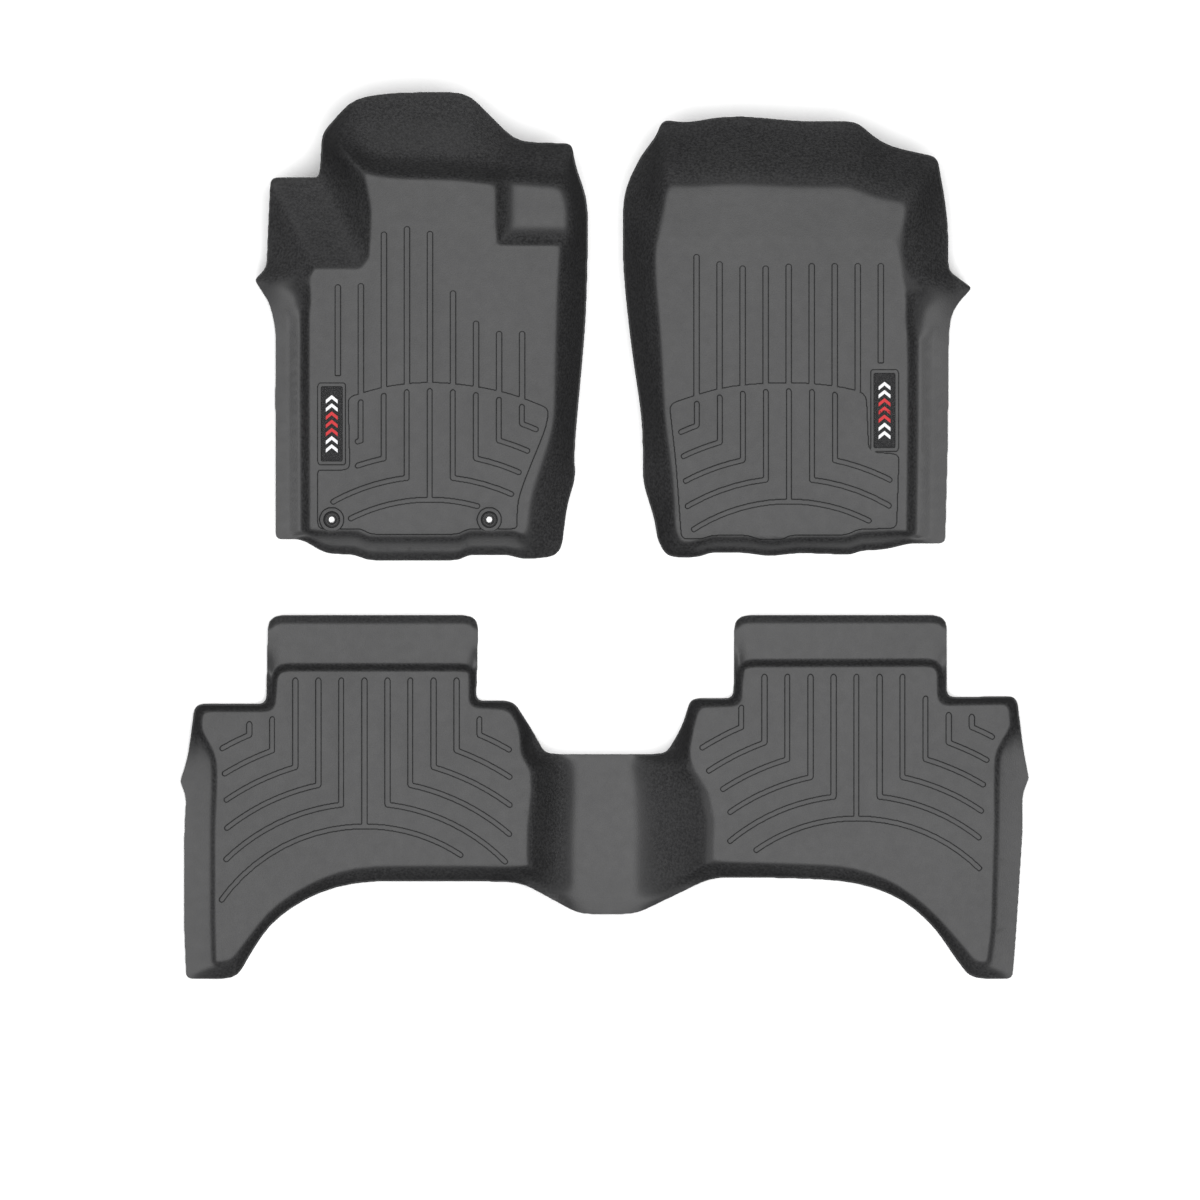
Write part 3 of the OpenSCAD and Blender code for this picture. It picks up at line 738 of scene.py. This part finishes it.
def plain_material(name, colour, roughness, bump_scale=900, bump_height=0.03 * MM, specular=0.5, alpha=1.0):
    material, nodes, links, shader = new_material(name)
    noise = nodes.new("ShaderNodeTexNoise")
    noise.inputs["Scale"].default_value = bump_scale
    noise.inputs["Detail"].default_value = 3
    links.new(nodes.new("ShaderNodeTexCoord").outputs["Object"], noise.inputs["Vector"])
    spread = nodes.new("ShaderNodeMapRange")
    spread.inputs["To Min"].default_value = roughness * 0.85
    spread.inputs["To Max"].default_value = roughness * 1.15
    links.new(noise.outputs["Fac"], spread.inputs["Value"])
    links.new(spread.outputs["Result"], shader.inputs["Roughness"])
    bump = nodes.new("ShaderNodeBump")
    bump.inputs["Strength"].default_value = 0.5
    bump.inputs["Distance"].default_value = bump_height
    links.new(noise.outputs["Fac"], bump.inputs["Height"])
    links.new(bump.outputs["Normal"], shader.inputs["Normal"])
    shader.inputs["Base Color"].default_value = (*colour, 1)
    shader.inputs["Specular IOR Level"].default_value = specular
    shader.inputs["Alpha"].default_value = alpha
    return material


TPE = liner_material()
PLASTIC = plain_material("eyelet_plastic", (0.005, 0.005, 0.0055), 0.42, specular=0.22)
PLATE = plain_material("badge_black", (0.004, 0.004, 0.0045), 0.3, specular=0.03)
PRINT_WHITE = plain_material("badge_white", (0.60, 0.60, 0.61), 0.4, specular=0.2)
PRINT_RED = plain_material("badge_red", (0.42, 0.012, 0.016), 0.4, specular=0.1)
RESIN = plain_material("badge_resin", (0.02, 0.02, 0.022), 0.25, 60, 0.01 * MM, 0.3, 0.04)

# ---------------------------------------------------------------- the liners
eyelet_holes = []
for name in ("left_eyelet", "right_eyelet"):
    low, high = (Vector(corner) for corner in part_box(name))
    middle = (low + high) / 2
    eyelet_holes.append((middle.x, middle.y, HOLE_RADIUS))

# The last two numbers: height above which inner creases are broad, and how soft those are, in cells
for node, body, holes, broad_above, broad_blur in (
    ("driver_liner", "driver", eyelet_holes, 28.5, 9),
    ("passenger_liner", "passenger", [], 30, 12),
    ("rear_liner", "rear", [], 45, 8),
):
    piece = build_liner(node, holes, broad_above, broad_blur)
    piece.data.materials.append(TPE)
    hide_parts(node)
    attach(piece, body)
    print(node, len(piece.data.vertices), len(piece.data.polygons), flush=True)


# ---------------------------------------------------------------- eyelets and lock rings
for name in ("left_eyelet", "right_eyelet"):
    low, high = (Vector(corner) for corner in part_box(name))
    centre = (low + high) / 2
    flange, bore, sleeve = (high.x - low.x) / 2, 5.0 * MM, 10.0 * MM
    top, step = high.z, high.z - 2.0 * MM
    profile = [
        (bore, low.z + 0.3 * MM, 0), (bore, top - 1.3 * MM, 0), (bore + 0.4 * MM, top - 0.8 * MM, 0),
        (bore + 1.2 * MM, top - 0.5 * MM, 0), (sleeve - 2.2 * MM, top - 0.5 * MM, 0),
        (sleeve - 1.6 * MM, top - 0.1 * MM, 0), (sleeve - 1.0 * MM, top, 0), (sleeve - 0.2 * MM, top, 0.1),
        (sleeve + 0.2 * MM, top, 1), (flange - 0.7 * MM, top - 0.2 * MM, 1),
        (flange - 0.1 * MM, top - 0.7 * MM, 0.8),
        (flange, step + 0.3 * MM, 0), (flange - 0.3 * MM, step, 0), (sleeve, step, 0),
        (sleeve, low.z + 0.3 * MM, 0), (sleeve - 0.3 * MM, low.z, 0), (bore + 0.3 * MM, low.z, 0),
    ]
    piece = turned(name + "_moulding", profile, centre, teeth=24, tooth_depth=0.9 * MM)
    piece.data.materials.append(PLASTIC)
    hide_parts(name)
    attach(piece, "driver")

for name in ("left_lock_ring", "right_lock_ring"):
    low, high = (Vector(corner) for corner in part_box(name))
    centre = (low + high) / 2
    outer, bore, ease = (high.x - low.x) / 2, 10.0 * MM, 0.4 * MM
    profile = [
        (bore, low.z + ease, 0), (bore, high.z - ease, 0), (bore + ease, high.z, 0),
        (outer - ease, high.z, 0), (outer, high.z - ease, 0), (outer, low.z + ease, 0),
        (outer - ease, low.z, 0.6), (bore + ease, low.z, 0.6),
    ]
    piece = turned(name + "_moulding", profile, centre, teeth=6, tooth_depth=-0.5 * MM)
    piece.data.materials.append(PLASTIC)
    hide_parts(name)
    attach(piece, "driver")

# ---------------------------------------------------------------- badges
for body in ("driver", "passenger"):
    low, high = (Vector(corner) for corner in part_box(body + "_badge_plate"))
    centre, size = (low + high) / 2, high - low
    skin = high.z - 0.15 * MM
    w, l = size.x, size.y
    plate = slab(body + "_badge_base", centre, [
        (w - 0.6 * MM, l - 0.6 * MM, 2.7 * MM, low.z), (w, l, 3 * MM, low.z + 0.3 * MM),
        (w, l, 3 * MM, skin - 0.2 * MM), (w - 0.4 * MM, l - 0.4 * MM, 2.8 * MM, skin)])
    plate.data.materials.append(PLATE)
    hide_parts(body + "_badge_plate")
    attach(plate, body)
    arm, rise, bold, step = w * 0.27, w * 0.22, 6.0 * MM, 13.5 * MM
    for index, place in enumerate(range(-3, 4)):
        y = place * step + rise / 2 - bold / 2
        shape = [
            (-arm, y - rise), (0, y), (arm, y - rise),
            (arm, y - rise + bold), (0, y + bold), (-arm, y - rise + bold),
        ]
        mark = prism(f"{body}_badge_chevron_{index}", shape, centre, skin - 0.05 * MM, high.z)
        mark.data.materials.append(PRINT_RED if abs(place) < 2 else PRINT_WHITE)
        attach(mark, body)
    low, high = (Vector(corner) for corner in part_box(body + "_badge_dome"))
    size = high - low
    w, l = size.x, size.y
    levels = [(w, l, 2.5 * MM, low.z)]
    for share in (0.25, 0.5, 0.7, 0.85, 0.95, 1.0):
        inset = 2.4 * MM * (1 - math.sqrt(max(0.0, 1 - share ** 2)))
        levels.append((w - inset, l - inset, 2.5 * MM, low.z + size.z * share))
    dome = slab(body + "_badge_lens", centre, levels)
    dome.data.materials.append(RESIN)
    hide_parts(body + "_badge_dome")
    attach(dome, body)

# ---------------------------------------------------------------- stage, camera and light
scene = bpy.context.scene
scene.view_settings.view_transform = "Standard"

FLOOR_REACH = 20
FLOOR_LEVEL = -0.5 * MM
floor_mesh = bpy.data.meshes.new("floor")
corners = ((-1, -1), (1, -1), (1, 1), (-1, 1))
floor_verts = [(x * FLOOR_REACH, y * FLOOR_REACH, FLOOR_LEVEL) for x, y in corners]
floor_mesh.from_pydata(floor_verts, [], [(0, 1, 2, 3)])
floor = bpy.data.objects.new("floor", floor_mesh)
scene.collection.objects.link(floor)
paper, _, _, paper_shader = new_material("pale_floor")
paper_shader.inputs["Base Color"].default_value = (0.94, 0.94, 0.94, 1)
paper_shader.inputs["Roughness"].default_value = 0.9
paper_shader.inputs["Specular IOR Level"].default_value = 0.1
floor.data.materials.append(paper)

VIEW_WIDTH = 1.98
CAMERA_HEIGHT = 60.0
CAMERA_SHIFT = (-7.4 * MM, -105.6 * MM)
low, high = (Vector(corner) for corner in cad_box)
middle = (low + high) / 2
camera_data = bpy.data.cameras.new("camera")
camera_data.lens = camera_data.sensor_width * CAMERA_HEIGHT / VIEW_WIDTH
camera_data.clip_end = 200
camera = bpy.data.objects.new("camera", camera_data)
camera.location = (middle.x + CAMERA_SHIFT[0], middle.y + CAMERA_SHIFT[1], CAMERA_HEIGHT)
scene.collection.objects.link(camera)
scene.camera = camera

LIGHT_HEIGHT = 8.0
LIGHT_SIZE = 7.0
LIGHT_POWER = 1180
LIGHT_PLACE = (0.2, -0.6, LIGHT_HEIGHT)
WORLD_STRENGTH = 0.3
light_data = bpy.data.lights.new("softbox", "AREA")
light_data.shape = "DISK"
light_data.size = LIGHT_SIZE
light_data.energy = LIGHT_POWER
softbox = bpy.data.objects.new("softbox", light_data)
softbox.location = LIGHT_PLACE
scene.collection.objects.link(softbox)

world = bpy.data.worlds.new("studio")
scene.world = world
world.use_nodes = True
world.node_tree.nodes["Background"].inputs["Color"].default_value = (1, 1, 1, 1)
world.node_tree.nodes["Background"].inputs["Strength"].default_value = WORLD_STRENGTH
